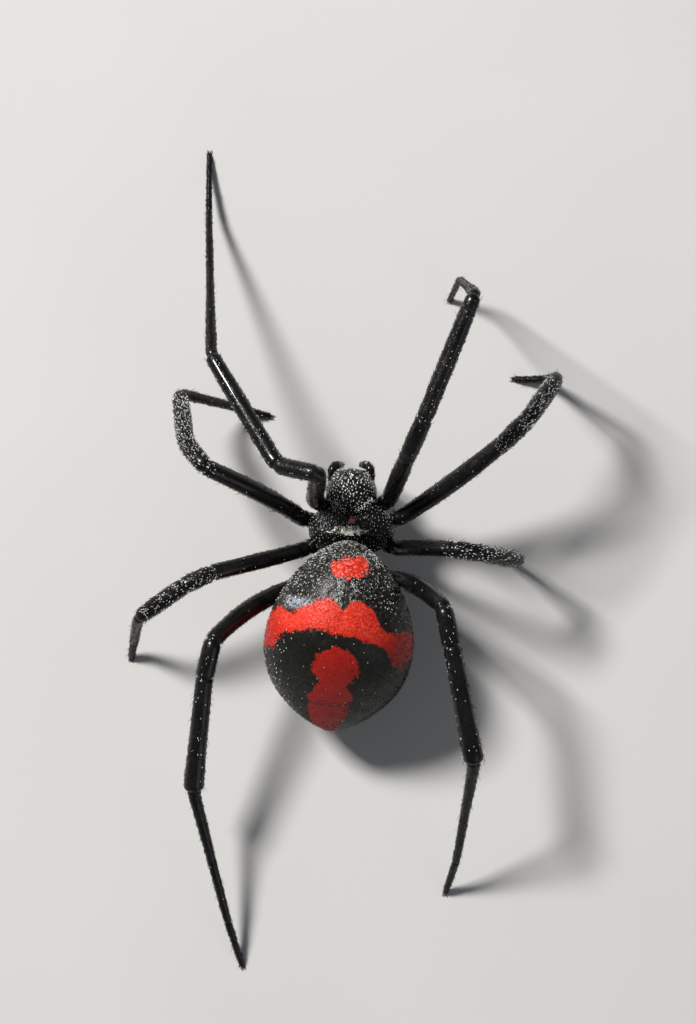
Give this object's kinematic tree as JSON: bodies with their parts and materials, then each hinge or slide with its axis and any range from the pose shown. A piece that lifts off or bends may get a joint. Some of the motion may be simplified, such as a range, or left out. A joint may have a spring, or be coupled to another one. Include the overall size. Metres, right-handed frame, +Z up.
{
  "type": "spider model",
  "caption": "Life-size still model of an adult female black widow spider, standing on all its feet with the front legs reaching ahead.",
  "frame": {"origin": "on the floor, under the middle of the whole spider's box", "axes": "+Z up from the floor, +Y the way the head points, +X the spider's right side"},
  "size_m": [0.0206, 0.039, 0.0123],
  "materials": {
    "black_shell": "glossy black cuticle with a fine grain that sparkles",
    "black_skin": "satin black skin with red markings and very short hairs; the markings are in the visual model",
    "eye_lens": "polished black lens"
  },
  "bodies": {
    "root": {"abdomen": "black_skin", "carapace": "black_shell", "chelicera_left": "black_shell", "chelicera_right": "black_shell", "coxa_left_1": "black_shell", "coxa_left_2": "black_shell", "coxa_left_3": "black_shell", "coxa_left_4": "black_shell", "coxa_right_1": "black_shell", "coxa_right_2": "black_shell", "coxa_right_3": "black_shell", "coxa_right_4": "black_shell", "eye_front_middle_left": "eye_lens", "eye_front_middle_right": "eye_lens", "eye_front_side_left": "eye_lens", "eye_front_side_right": "eye_lens", "eye_rear_middle_left": "eye_lens", "eye_rear_middle_right": "eye_lens", "eye_rear_side_left": "eye_lens", "eye_rear_side_right": "eye_lens", "femur_left_1": "black_shell", "femur_left_2": "black_shell", "femur_left_3": "black_shell", "femur_left_4": "black_shell", "femur_right_1": "black_shell", "femur_right_2": "black_shell", "femur_right_3": "black_shell", "femur_right_4": "black_shell", "foot_left_1": "black_shell", "foot_left_2": "black_shell", "foot_left_3": "black_shell", "foot_left_4": "black_shell", "foot_right_1": "black_shell", "foot_right_2": "black_shell", "foot_right_3": "black_shell", "foot_right_4": "black_shell", "palp_left": "black_shell", "palp_right": "black_shell", "patella_left_1": "black_shell", "patella_left_2": "black_shell", "patella_left_3": "black_shell", "patella_left_4": "black_shell", "patella_right_1": "black_shell", "patella_right_2": "black_shell", "patella_right_3": "black_shell", "patella_right_4": "black_shell", "pedicel": "black_skin", "spinnerets": "black_skin", "sternum": "black_shell", "tibia_left_1": "black_shell", "tibia_left_2": "black_shell", "tibia_left_3": "black_shell", "tibia_left_4": "black_shell", "tibia_right_1": "black_shell", "tibia_right_2": "black_shell", "tibia_right_3": "black_shell", "tibia_right_4": "black_shell"}
  },
  "joints": []
}
